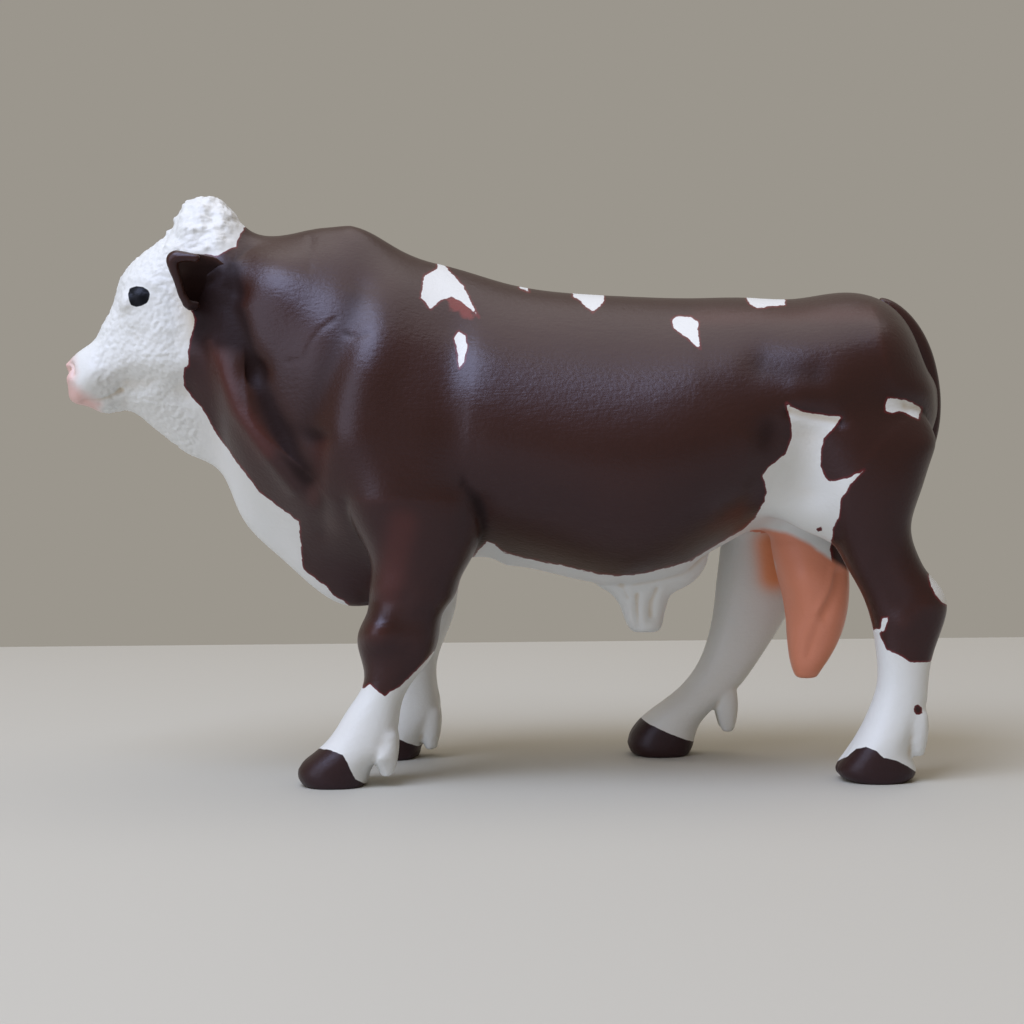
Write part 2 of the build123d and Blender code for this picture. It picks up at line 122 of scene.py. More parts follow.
def joined(names, sockets=()):
    """One mesh with copies of the named CAD nodes, their loose triangles merged, and filled sockets."""
    bm = bmesh.new()
    for name in names:
        bm.from_mesh(nodes[name].data)
    bmesh.ops.remove_doubles(bm, verts=bm.verts, dist=WELD)
    for place in sockets:
        ball = Matrix.Translation(Vector(place) * MM)
        bmesh.ops.create_icosphere(bm, subdivisions=3, radius=SOCKET_RADIUS * MM, matrix=ball)
    mesh = bpy.data.meshes.new("wrap_source")
    bm.to_mesh(mesh)
    bm.free()
    return mesh


def wrapped(mesh, spacing):
    """An even closed mesh round another one."""
    holder = bpy.data.objects.new("wrap_source", mesh)
    bpy.context.scene.collection.objects.link(holder)
    wrap = holder.modifiers.new("wrap", "REMESH")
    wrap.mode = "VOXEL"
    wrap.voxel_size = spacing * MM
    made = bpy.data.meshes.new_from_object(holder.evaluated_get(bpy.context.evaluated_depsgraph_get()))
    bpy.data.objects.remove(holder)
    bpy.data.meshes.remove(mesh)
    return made


SKINNED = ["body_left", "body_right", "body_core", "head", *LEGS, "sheath", "scrotum"]
skin = wrapped(joined(SKINNED, EAR_SOCKETS), SPACING)
print("skin points:", len(skin.vertices))

# %% [markdown]
# ## Sculpting tools
#
# A sculptor smooths, pushes and pulls clay. Sculpt Mode does that by hand, but a script can't use it
# reliably, so `Clay` does the same with plain numbers. `relax` takes out facets without shrinking the form,
# `stroke` pushes the surface out or in along a line of pixels, as a thumb would, and `pull` moves a whole
# lump. The photograph shows one side only, so the other side mirrors every stroke.

# %% Distances


def read_points(mesh, field="co"):
    values = np.empty(len(mesh.vertices) * 3, dtype=np.float32)
    mesh.vertices.foreach_get(field, values)
    return values.reshape(-1, 3).astype(np.float64)


def line_distance(points, path):
    """Distance of 2-D points from a line of straight runs, or from a single point."""
    path = np.array(path, dtype=float)
    if len(path) == 1:
        return np.linalg.norm(points - path[0], axis=1)
    best = np.full(len(points), 1e9)
    for start, end in zip(path[:-1], path[1:]):
        run = end - start
        share = np.clip((points - start) @ run / (run @ run), 0, 1)
        best = np.minimum(best, np.linalg.norm(points - start - share[:, None] * run, axis=1))
    return best


def inside_distance(points, outline):
    """Distance of 2-D points from a closed outline, positive inside it."""
    outline = np.array(outline, dtype=float)
    inside = np.zeros(len(points), dtype=bool)
    x, y = points[:, 0], points[:, 1]
    for (x1, y1), (x2, y2) in zip(outline, np.roll(outline, -1, axis=0)):
        crosses = (y1 > y) != (y2 > y)
        run = y2 - y1 if y2 != y1 else 1e-9
        inside ^= crosses & (x < (x2 - x1) * (y - y1) / run + x1)
    distance = line_distance(points, [*outline, outline[0]])
    return np.where(inside, distance, -distance)


# %% Clay


# Share of the way to its neighbours' mean that a point moves, and back again
STEP, STEP_BACK = 0.5, 0.53
# Masks weaker than this count as nothing
FAINT = 0.01
# A width in millimetres that takes in the whole figure
WIDE = 99.0


class Clay:
    """A mesh whose points can be smoothed and pushed about."""

    def __init__(self, mesh):
        self.mesh = mesh
        self.points = read_points(mesh) / MM
        edges = np.empty(len(mesh.edges) * 2, dtype=np.int32)
        mesh.edges.foreach_get("vertices", edges)
        self.edges = edges.reshape(-1, 2)
        self.degree = np.maximum(np.bincount(edges, minlength=len(self.points)), 1)[:, None]
        self.store()

    def store(self):
        self.mesh.vertices.foreach_set("co", (self.points * MM).astype(np.float32).ravel())
        self.mesh.update()
        self.normals = read_points(self.mesh, "normal")

    def averaged(self, values, edges=None):
        """Mean of each point's neighbours, along all edges or only those given."""
        first, second = (self.edges if edges is None else edges).T
        total = np.zeros_like(values)
        for axis in range(values.shape[1]):
            total[:, axis] = np.bincount(first, values[second, axis], len(values))
            total[:, axis] += np.bincount(second, values[first, axis], len(values))
        return total / self.degree

    def relax(self, passes, mask=None, step_back=STEP_BACK):
        weight, edges = 1.0, self.edges
        if mask is not None:
            weight = np.where(mask > FAINT, mask, 0)[:, None]
            edges = edges[(mask[edges] > FAINT).any(axis=1)]
        for _ in range(passes):
            for factor in (STEP, -step_back):
                if factor:
                    self.points += factor * weight * (self.averaged(self.points, edges) - self.points)
        self.store()

    def near_side(self):
        """Points and normals, with those of the far side mirrored to the near side."""
        flip = np.ones_like(self.points)
        flip[:, 1] = np.where(self.points[:, 1] > 0, -1, 1)
        return self.points * flip, self.normals * flip

    def stroke(self, path, reach, height):
        """Pushes both sides out by height millimetres along a line of pixels, fading over reach pixels."""
        points, normals = self.near_side()
        facing = np.sqrt(np.clip(-normals[:, 1], 0, 1))
        push = height * np.exp(-((line_distance(seen(points), path) / reach) ** 2)) * facing
        self.points += self.normals * push[:, None]
        self.store()

    def pull(self, path, reach, move, width=WIDE):
        """Moves all behind a line of pixels by millimetres, less beyond a width from the middle."""
        weight = np.exp(-((line_distance(seen(self.near_side()[0]), path) / reach) ** 2))
        weight *= np.exp(-((self.points[:, 1] / width) ** 2))
        self.points += weight[:, None] * np.array(move)
        self.store()


clay = Clay(skin)
clay.relax(passes=45)
print("smoothed", len(clay.points), "points")

# %% [markdown]
# ## Soft joins
#
# On the figure a leg runs into the body without a step, and muscles fade out at their edges. The solids meet
# there in slight kinks, so the skin near the leg joints, over the neck and at the hip is smoothed further.
# Smoothing everywhere would be simpler, but it would melt the hooves and the lips.

# %% Soft joins
JOINT_HEIGHTS = {"foreleg": 29.98, "hindleg": 33.26}
INNER_SIDES = {"foreleg": 5.2, "hindleg": 6.9}
# Margin round a leg, reach of the smoothing about its joint, in millimetres
LEG_MARGIN, JOINT_REACH = 5, 4.0
# Width of a zone's faded edge, in pixels
ZONE_EDGE = 20
SOFT_ZONES = [
    [(232, 262), (262, 236), (330, 215), (420, 262), (480, 320), (460, 500), (330, 500), (250, 420)],
    [(690, 318), (870, 300), (900, 420), (850, 480), (840, 545), (735, 545), (750, 440), (700, 400)],
]
softer = np.zeros(len(clay.points))
for leg in LEGS:
    low, high = (np.array(corner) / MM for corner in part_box(leg))
    kind = leg.split("_")[0]
    x, y, z = clay.points.T
    along_leg = (x > low[0] - LEG_MARGIN) & (x < high[0] + LEG_MARGIN)
    at_leg = along_leg & (y * (low[1] + high[1]) > 0) & (np.abs(y) > INNER_SIDES[kind])
    softer = np.maximum(softer, at_leg * np.exp(-(((z - JOINT_HEIGHTS[kind]) / JOINT_REACH) ** 2)))
clay.relax(passes=120, mask=softer, step_back=0)
places = seen(clay.near_side()[0])
faded = [np.clip(inside_distance(places, outline) / ZONE_EDGE, 0, 1) for outline in SOFT_ZONES]
zone = np.max(faded, axis=0)
clay.relax(passes=400, mask=zone, step_back=0)
print("softened points:", int((np.maximum(softer, zone) > 0.1).sum()))

# %% [markdown]
# ## Muscles and folds
#
# The bull's neck carries a fat crest with wrinkles, a deep groove runs down behind its jaw, and a shoulder
# blade, a hip and a fold of the flank show under the skin. Each is a soft stroke along a line read off the
# photograph. A painted height map could do the same, but it would need an image file.

# %% Muscles
# Line of pixels, reach in pixels, height in millimetres
MUSCLES = [
    # neck
    ([(234, 292), (230, 305), (240, 335), (254, 370)], 14, -1.1),
    ([(254, 370), (268, 408), (288, 450), (302, 482)], 14, -0.9),
    ([(214, 342), (224, 380), (236, 410), (262, 445), (294, 486)], 9, 0.6),
    ([(252, 244), (288, 238), (330, 230)], 20, -0.6),
    ([(282, 288)], 38, 1.2),
    ([(311, 240), (309, 268)], 4, -0.12),
    ([(362, 288), (346, 330), (320, 392), (308, 428)], 20, -0.8),
    ([(347, 334), (357, 338), (368, 335)], 3.0, -0.12),
    ([(335, 319), (321, 328), (310, 343), (304, 358), (289, 362)], 2.6, -0.10),
    # shoulder
    ([(400, 290), (374, 355), (350, 424)], 34, 0.8),
    ([(456, 330), (450, 400), (456, 480)], 26, -0.6),
    ([(316, 440), (314, 480), (322, 530)], 12, -0.6),
    ([(350, 450), (376, 490)], 30, 0.6),
    ([(478, 505), (468, 535)], 14, -0.5),
    # flank and hip
    ([(540, 425), (660, 420)], 60, 0.5),
    ([(764, 362), (812, 372)], 22, -0.7),
    ([(800, 392), (830, 396)], 16, 0.3),
    ([(790, 411), (840, 422)], 6, -0.45),
    ([(806, 440), (806, 490)], 22, -0.9),
    ([(768, 435)], 18, -0.4),
    ([(856, 440)], 26, 0.6),
    ([(890, 330)], 30, 0.4),
    # knee and hock
    ([(377, 632)], 16, 1.1),
    ([(370, 602), (402, 600)], 10, -0.4),
    ([(372, 658), (404, 658)], 14, -0.4),
    ([(925, 606), (905, 622)], 12, 0.35),
    ([(896, 600), (880, 570)], 12, -0.3),
    # fat dewclaw of the near forefoot
    ([(382, 757)], 9, 0.8),
]
UNDERPARTS = [
    # scrotum
    ([(783, 596), (790, 616)], 12, -0.8),
    ([(808, 576)], 20, 1.0),
    ([(812, 648)], 20, -0.5),
    ([(834, 566), (830, 586), (817, 611)], 2.8, 0.35),
    ([(840, 574), (835, 594), (824, 618)], 6, -0.5),
    ([(818, 626), (808, 656)], 4, -0.25),
    # sheath
    ([(608, 586), (618, 594)], 10, 0.4),
    ([(637, 596), (638, 628)], 3.2, -0.45),
    ([(621, 586), (627, 598)], 4, -0.35),
    ([(657, 590), (651, 603), (651, 616)], 4, -0.45),
]
# Line of pixels, reach in pixels, move and width from the middle in millimetres
SHIFTS = [
    # sheath
    ([(652, 608)], 24, (-1.2, 0, 0), WIDE),
    ([(674, 592)], 14, (-0.9, 0, 0.3), WIDE),
    # rump beside the tail
    ([(914, 396), (920, 436)], 24, (1.8, 0, 0), WIDE),
    # belly line
    ([(510, 560), (560, 568), (620, 572), (680, 562)], 16, (0, 0, -1.5), 8.0),
]
for path, reach, move, width in SHIFTS:
    clay.pull(path, reach, move, width)
for path, reach, height in [*MUSCLES, *UNDERPARTS]:
    clay.stroke(path, reach, height)
clay.relax(passes=4)
clay.points[:, 2] = np.maximum(clay.points[:, 2], 0.0)
clay.store()
print("muscle strokes:", len(MUSCLES), "and", len(UNDERPARTS), "below")

# %% [markdown]
# ## The face
#
# The head is a blunt wedge with a curly poll. Poll, forehead, nose and chin are pulled to their outline in
# the photograph. Then come brow, cheek, jaw line, lips and nostril, and an eye that bulges slightly.

# %% Face
EYE = [
    (128, 294), (130, 288), (136, 286), (143, 287), (148, 290), (150, 294), (149, 299), (147, 303),
    (141, 306), (136, 307), (131, 305), (129, 301),
]
# Pixel, reach in pixels, move in millimetres
LUMPS = [
    ((206, 214), 24, (1.0, 0, 0)),
    ((108, 304), 24, (0.7, 0, -0.7)),
    ((162, 236), 22, (0.6, 0, -0.1)),
    ((92, 338), 14, (0.6, 0, -0.3)),
    ((64, 372), 14, (0.9, 0, 0)),
    ((64, 391), 12, (0.9, 0, 0.3)),
    ((65, 364), 7, (-0.5, 0, 0)),
    ((84, 410), 16, (0.9, 0, 0.8)),
    ((128, 412), 16, (0, 0, 0.4)),
]
for pixel, reach, move in LUMPS:
    clay.pull([pixel], reach, move)
# Middles of the smooth and of the hairless spot at the eye, reach in pixels
EYE_FRONT, EYE_MIDDLE, EYE_REACH = (131, 297), (139, 297), 16
eye_distance = line_distance(seen(clay.near_side()[0]), [EYE_FRONT])
clay.relax(passes=30, mask=np.exp(-((eye_distance / EYE_REACH) ** 2)), step_back=0)
FACE = [
    ([(139, 296)], 8, 0.4),
    ([(124, 282), (138, 278), (154, 285)], 6, 0.25),
    ([(164, 338)], 22, 0.3),
    ([(98, 374), (130, 362), (184, 360)], 15, 0.6),
    ([(128, 386), (152, 386), (184, 394)], 13, -0.6),
    ([(116, 332), (134, 334)], 12, -0.3),
    ([(136, 402), (156, 392), (174, 372)], 10, 0.35),
    ([(96, 378)], 14, 0.4),
    ([(84, 402), (100, 401), (110, 398), (121, 391)], 3.0, -0.45),
    ([(92, 408), (108, 407)], 6, 0.2),
    ([(70, 364), (72, 374)], 3.2, -0.5),
]
for path, reach, height in FACE:
    clay.stroke(path, reach, height)
# Nostrils: place in millimetres, reach along each axis, depth
NOSTRIL, NOSTRIL_REACH, NOSTRIL_DEPTH = (-66.3, -3.2, 62.3), (4.0, 1.1, 0.8), 1.0
away = (clay.near_side()[0] - np.array(NOSTRIL)) / np.array(NOSTRIL_REACH)
clay.points[:, 0] += NOSTRIL_DEPTH * np.exp(-np.einsum("ij,ij->i", away, away))
clay.store()
print("face lumps and strokes:", len(LUMPS), len(FACE))

# %% [markdown]
# ## Where the paint goes
#
# The white markings were masked or brushed by hand, so their edges wander. An image texture would carry
# them, but its edges blur close up. Here each point stores its distance, in millimetres, from the outlines
# of the white, pink and dark paint, and the material draws a crisp edge where that distance is zero. The
# far side repeats the face, belly and back; its flank patches are a guess.

# %% Paint outlines
# Millimetres that a pixel covers on the figure
PX = 0.15
FACE_WHITE = [
    (250, 165), (246, 225), (239, 236), (236, 246), (226, 251), (216, 256), (206, 254), (190, 258),
    (191, 309), (195, 319), (191, 336), (188, 351), (188, 366), (184, 367), (183, 381), (186, 389),
    (193, 399), (201, 407), (220, 439), (240, 467), (260, 493), (280, 508), (299, 522), (301, 545),
    (303, 570), (312, 576), (318, 581), (326, 586), (332, 594), (342, 600), (348, 605), (340, 640),
    (30, 640), (30, 165),
]
BELLY_WHITE = [
    (460, 582), (477, 552), (487, 542), (495, 545), (503, 552), (516, 556), (546, 563), (566, 566),
    (579, 570), (598, 574), (619, 576), (641, 574), (667, 568), (690, 561), (705, 552), (720, 543),
    (743, 529), (755, 518), (764, 502), (767, 490), (763, 476), (768, 468), (776, 462), (786, 454),
    (791, 440), (792, 426), (786, 403), (802, 412), (824, 415), (841, 417), (833, 428), (824, 438),
    (821, 452), (820, 466), (826, 478), (831, 482), (848, 478), (865, 469), (850, 485), (841, 499),
    (839, 516), (833, 529), (830, 548), (834, 570), (840, 590), (846, 606), (700, 720), (440, 660),
]
BACK_PATCHES = [
    [(436, 255), (444, 255), (444, 265), (456, 278), (463, 286), (470, 300), (479, 318), (464, 303),
     (452, 297), (441, 300), (431, 309), (421, 298), (424, 276), (438, 268)],
    [(516, 280), (526, 280), (529, 292), (520, 288)],
    [(573, 285), (604, 285), (604, 302), (593, 312), (586, 307), (581, 301), (573, 296)],
    [(743, 292), (785, 292), (785, 305), (772, 306), (758, 308), (750, 304)],
]
NEAR_PATCHES = [
    [(458, 331), (465, 335), (467, 347), (464, 361), (459, 369), (457, 349), (454, 339)],
    [(672, 320), (677, 317), (691, 317), (698, 322), (698, 333), (700, 349), (688, 338), (674, 328)],
    [(885, 404), (888, 398), (905, 400), (921, 408), (919, 419), (905, 413), (900, 411), (893, 413),
     (886, 411)],
    [(340, 692), (362, 678), (363, 689), (370, 684), (376, 690), (381, 694), (385, 697), (389, 693),
     (402, 685), (410, 676), (425, 662), (433, 652), (470, 640), (480, 810), (270, 810), (270, 700)],
    [(856, 624), (870, 630), (881, 629), (882, 618), (888, 617), (887, 622), (884, 630), (879, 633),
     (886, 649), (893, 653), (901, 656), (910, 663), (930, 662), (935, 655), (950, 652), (990, 648),
     (990, 810), (825, 810), (825, 690)],
    [(929, 575), (940, 568), (985, 560), (985, 618), (952, 610), (938, 598), (931, 586)],
]
NEAR_FLECKS = [
    [(914, 707), (918, 704), (922, 707), (922, 713), (917, 715), (914, 712)],
    [(816, 528), (822, 527), (822, 531), (817, 532)],
]
FAR_PATCHES = [
    [(552, 350), (570, 332), (604, 328), (622, 342), (642, 352), (628, 370), (606, 374), (600, 394),
     (580, 384), (566, 388), (562, 366)],
    [(392, 316), (412, 302), (430, 310), (434, 332), (420, 342), (414, 362), (402, 352), (400, 332)],
    [(856, 374), (878, 362), (902, 372), (896, 386), (880, 402), (868, 392)],
]
NOSE_PINK = [(40, 356), (72, 357), (74, 372), (72, 384), (84, 395), (98, 404), (98, 414), (40, 420)]
THIN_PAINT = [(447, 299), (456, 298), (470, 308), (475, 318), (466, 318), (458, 312), (449, 309)]
FLESH = [
    (752, 531), (764, 529), (786, 533), (806, 542), (821, 553), (830, 559), (880, 590), (880, 720),
    (772, 720), (777, 600), (775, 563),
]
# Lines along which the dark wash is deepened into painted shade, under the ear and in the grooves of the neck,
# shoulder, hip and flank; their reach in pixels and its depth
SHADE_LINES = [
    ([(206, 286), (216, 325)], 24, 0.40),
    ([(234, 272), (230, 305), (244, 345), (268, 405), (300, 470)], 13, 0.16),
    ([(352, 300), (322, 374), (306, 424)], 16, 0.09),
    ([(766, 364), (812, 374)], 22, 0.08),
    ([(768, 425), (764, 445)], 14, 0.10),
    ([(318, 440), (320, 500)], 14, 0.10),
]
# Lines of reddish painted highlight along the throat ridge and over the shoulder and flank, and their reach in
# pixels
RED_HIGHLIGHT_LINES = [
    ([(212, 346), (230, 400), (264, 450)], 13),
    ([(322, 445), (316, 500)], 10),
    ([(402, 525), (386, 590)], 18),
    ([(700, 316), (870, 312)], 12),
]
NEAR_HOOVES = [
    [(290, 764), (300, 758), (316, 748), (330, 750), (343, 755), (349, 766), (355, 779), (366, 784),
     (370, 810), (280, 810)],
    [(836, 762), (848, 756), (856, 749), (866, 747), (877, 751), (884, 758), (895, 760), (909, 767),
     (916, 772), (920, 800), (830, 800)],
]
# Front and rear ends of a far hoof's upper edge: along, height, in millimetres
FAR_HOOVES = [((-22.6, 6.4), (-13.4, 1.6)), ((20.0, 6.6), (30.0, 2.2))]
print("outlines on the near side:", len(NEAR_PATCHES) + len(BACK_PATCHES) + 2)

# %% Paint fields


# Waves in a random field, and what brings their sum to about -1 to 1
WAVES, WAVE_SUM = 6, 3.5
# Distance from paint that can't reach a point, in millimetres
NOWHERE = -9.0
# White inside the legs: top, fade, distance from the middle, least turn of the skin, millimetres per turn
INNER_TOP, INNER_FADE, INNER_START, INNER_TURN, INNER_SLOPE = 41, 3, 4, 0.05, 5
# White under the belly: front, rear, top, millimetres per turn away from the eye and down, start of the last
BELLY_FRONT, BELLY_REAR, BELLY_TOP, AWAY_SLOPE, DOWN_SLOPE, DOWN_START = -6, 46, 44, 8, 4, 1
# White far shins: a place between fore and hind legs, their tops
BETWEEN_LEGS, FORE_SHIN, HIND_SHIN = 10, 15.5, 19.5
# Wandering edges: how far, size of the waves, seed
FAR_WANDER, SHIN_WANDER = (1.1, 8.0, 11), (1.6, 5.0, 4)
# Hooves: greatest height, room before and behind a far hoof's edge
HOOF_TOP, HOOF_FRONT, HOOF_REAR = 10, 4, 1.5
# Passes of smoothing that find the hollows
HOLLOW_PASSES = 14
# Pink spray on the far leg: line of pixels, reach, least turn of the skin
SPRAY_LINE, SPRAY_REACH, SPRAY_TURN = [(770, 545), (774, 575)], 18, 0.2
# Box round the scrotum in millimetres: front, rear, half width, top
SCROTUM_BOX = 34, 57, 6.9, 42


def wobble(points, size, seed):
    """A smooth random field, about -1 to 1, for edges that wander as a brush does."""
    rng = np.random.default_rng(seed)
    total = np.zeros(len(points))
    for _ in range(WAVES):
        direction = rng.normal(size=3)
        direction *= 2 * math.pi / size / np.linalg.norm(direction)
        total += np.sin(points @ direction + rng.uniform(0, 2 * math.pi))
    return total / WAVE_SUM


def widest(places, outlines):
    """Distance inside the nearest of several outlines, in millimetres."""
    return PX * np.max([inside_distance(places, outline) for outline in outlines], axis=0)


def white_field(clay):
    """Where white paint lies: along the outlines, under the belly, inside the legs and on the far shins."""
    points, normals = clay.near_side()
    near = clay.points[:, 1] <= 0
    places = seen(points)
    far = widest(places, FAR_PATCHES) + FAR_WANDER[0] * wobble(points, *FAR_WANDER[1:])
    sided = np.where(near, widest(places, NEAR_PATCHES), far)
    white = np.maximum(widest(places, [FACE_WHITE, BELLY_WHITE, *BACK_PATCHES]), sided)
    x, y, z = points.T
    low = np.minimum(np.clip((INNER_TOP - z) / INNER_FADE, -1, 1) * 2, -y - INNER_START)
    white = np.maximum(white, np.minimum(low, (normals[:, 1] - INNER_TURN) * INNER_SLOPE))
    sight = EYE_POINT - points
    turned_away = -np.einsum("ij,ij->i", normals, sight) / np.linalg.norm(sight, axis=1)
    under = np.minimum(turned_away * AWAY_SLOPE, -normals[:, 2] * DOWN_SLOPE - DOWN_START)
    white = np.maximum(white, np.min([under, x - BELLY_FRONT, BELLY_REAR - x, BELLY_TOP - z], axis=0))
    shin_top = np.where(x < BETWEEN_LEGS, FORE_SHIN, HIND_SHIN)
    shin = shin_top + SHIN_WANDER[0] * wobble(points, *SHIN_WANDER[1:]) - z
    flecks = np.where(normals[:, 1] < 0, widest(places, NEAR_FLECKS), NOWHERE)
    return np.where(near, np.minimum(white, -flecks), np.maximum(white, shin))


def hoof_field(clay):
    """Where hoof paint lies: inside an outline on the near side, under a slanting line on the far side."""
    x, y, z = clay.points.T
    near = np.where(z < HOOF_TOP, widest(seen(clay.points), NEAR_HOOVES), NOWHERE)
    far = np.full(len(x), NOWHERE)
    for (front_x, front_z), (rear_x, rear_z) in FAR_HOOVES:
        line = front_z + (x - front_x) * (rear_z - front_z) / (rear_x - front_x)
        along = (x > front_x - HOOF_FRONT) & (x < rear_x + HOOF_REAR)
        far = np.where(along, np.maximum(far, line - z), far)
    return np.where(y < 0, near, far)


def paint(clay, plain=None):
    """Works out every paint field of a clay and stores it on its mesh; a plain clay has one white value."""
    points, normals = clay.near_side()
    places, near = seen(points), clay.points[:, 1] <= 0
    smooth = clay.points.copy()
    for _ in range(HOLLOW_PASSES):
        smooth += STEP * (clay.averaged(smooth) - smooth)
    inner = ~near & (normals[:, 1] > SPRAY_TURN)
    spray = np.exp(-((line_distance(seen(clay.points), SPRAY_LINE) / SPRAY_REACH) ** 2))
    x, y, z = points.T
    front, rear, half, top = SCROTUM_BOX
    at_scrotum = (x > front) & (x < rear) & (y > -half) & (z < top)
    # How deep a point lies in a hollow, deepened along the lines of painted shade; the material paints shade
    # where it is high and a highlight where it is low
    hollow = np.einsum("ij,ij->i", smooth - clay.points, clay.normals)
    for path, reach, depth in SHADE_LINES:
        hollow += depth * np.exp(-((line_distance(places, path) / reach) ** 2)) * (normals[:, 1] < 0)
    # Reddish painted highlights along ridges, strongest where the skin faces sideways
    highlit = [np.exp(-((line_distance(places, path) / reach) ** 2)) for path, reach in RED_HIGHLIGHT_LINES]
    fields = {
        "white": white_field(clay) if plain is None else np.full(len(points), float(plain)),
        "hoof": hoof_field(clay),
        "pink": widest(places, [NOSE_PINK]),
        "eye": widest(places, [EYE]),
        "thin": np.where(near, widest(places, [THIN_PAINT]), NOWHERE),
        "flesh": np.where(at_scrotum, widest(places, [FLESH]), NOWHERE),
        "red_highlight": np.max(highlit, axis=0) * np.clip(-normals[:, 1], 0, 1),
        "blush": np.where(inner, spray, 0.0),
        "hollow": hollow,
    }
    for name, values in fields.items():
        stored = clay.mesh.attributes.new(name, "FLOAT", "POINT")
        stored.data.foreach_set("value", values.astype(np.float32))


paint(clay)
print("painted points:", len(clay.points))

# %% [markdown]
# ## Floor, light and background
#
# The figure stood on a pale matt table in front of a warm grey wall, under a soft ceiling lamp, with a cool
# window high at the front left and weaker light from a doorway at the left. Large area lamps give such soft
# shadows; a sun lamp would draw hard ones. The wall is only a colour that the camera sees, so it doesn't get
# in the way of other views.

# %% Colours and nodes


def linear(hex_colour):
    """Linear colour from an sRGB hex code."""
    parts = [int(hex_colour[i : i + 2], 16) / 255 for i in (1, 3, 5)]
    return (*[p / 12.92 if p <= 0.04045 else ((p + 0.055) / 1.055) ** 2.4 for p in parts], 1.0)


def node(tree, kind, inputs=(), **settings):
    """Adds a node with its settings, and sets or links its inputs by name or number."""
    made = tree.nodes.new(kind)
    for name, value in settings.items():
        setattr(made, name, value)
    for name, value in dict(inputs).items():
        if isinstance(value, bpy.types.NodeSocket):
            tree.links.new(value, made.inputs[name])
        else:
            made.inputs[name].default_value = value
    return made


# %% Stage
# The table's side and front edges and its edge at the wall, in metres
TABLE_SIDE, TABLE_BACK = 0.7, 0.19
TABLE_CORNERS = [
    (-TABLE_SIDE, -TABLE_SIDE), (TABLE_SIDE, -TABLE_SIDE), (TABLE_SIDE, TABLE_BACK), (-TABLE_SIDE, TABLE_BACK),
]
floor_mesh = bpy.data.meshes.new("floor")
floor_mesh.from_pydata([(x, y, 0) for x, y in TABLE_CORNERS], [], [(0, 1, 2, 3)])
floor = bpy.data.objects.new("floor", floor_mesh)
bpy.context.scene.collection.objects.link(floor)
table_top = bpy.data.materials.new("matt_table_top")
table_top.use_nodes = True
table_shader = table_top.node_tree.nodes["Principled BSDF"]
table_shader.inputs["Base Color"].default_value = linear("#bfbeb6")
table_shader.inputs["Roughness"].default_value = 0.6
floor_mesh.materials.append(table_top)

world = bpy.data.worlds.new("soft_room")
bpy.context.scene.world = world
world.use_nodes = True
room = world.node_tree
room.nodes.clear()
lit = node(room, "ShaderNodeBackground", {"Color": linear("#dcc8ac"), "Strength": 0.40})
shown = node(room, "ShaderNodeBackground", {"Color": linear("#9b968d")})
rays = node(room, "ShaderNodeLightPath")
direct = rays.outputs["Is Camera Ray"]
for other in ("Is Glossy Ray", "Is Transmission Ray"):
    either = {0: direct, 1: rays.outputs[other]}
    direct = node(room, "ShaderNodeMath", either, operation="MAXIMUM").outputs[0]
choice = node(room, "ShaderNodeMixShader", {0: direct, 1: lit.outputs[0], 2: shown.outputs[0]})
node(room, "ShaderNodeOutputWorld", {"Surface": choice.outputs[0]})

LAMP_AIM = Vector((0, 0, 0.04))
LAMPS = [
    # name, place in metres, size in metres, watts, colour
    ("ceiling", (0.05, 0.12, 0.78), 0.70, 2.1, "#fff8f2"),
    ("window", (-0.27, -0.31, 0.71), 0.50, 5.4, "#dae5ff"),
    ("open_door", (-0.62, -0.52, 0.26), 0.55, 1.7, "#eef2ff"),
]
for name, place, size, watts, colour in LAMPS:
    lamp = bpy.data.objects.new(name, bpy.data.lights.new(name, "AREA"))
    lamp.data.size, lamp.data.energy, lamp.data.color = size, watts, linear(colour)[:3]
    lamp.location = place
    lamp.rotation_mode = "QUATERNION"
    lamp.rotation_quaternion = (LAMP_AIM - Vector(place)).to_track_quat("-Z", "Y")
    bpy.context.scene.collection.objects.link(lamp)
bpy.context.scene.view_settings.view_transform = "Standard"
print("stage set with", len(LAMPS), "lamps")

# %% [markdown]
# ## Painted plastic
#
# The figure is soft PVC, moulded in white and coated with satin paint: sprayed brown with thin reddish edges,
# a dark wash left in the hollows, a pink airbrush below and brushed hooves and eyes. Light and shade are also
# painted into the colour: the wash is deepened into painted shade in the grooves and under the ear, ridges get
# a lighter painted highlight and some a reddish one. Separate materials per colour would need mesh edges along
# every marking. One material with masks from the stored distances keeps the edges crisp and lets
# neighbouring coats blend.

# %% Masks
# Moulded PVC under satin paint: broad soft highlights, fine combed hair and grit that break them up.
plastic = bpy.data.materials.new("painted_pvc")
plastic.use_nodes = True
coat = plastic.node_tree
where = node(coat, "ShaderNodeTexCoord").outputs["Object"]
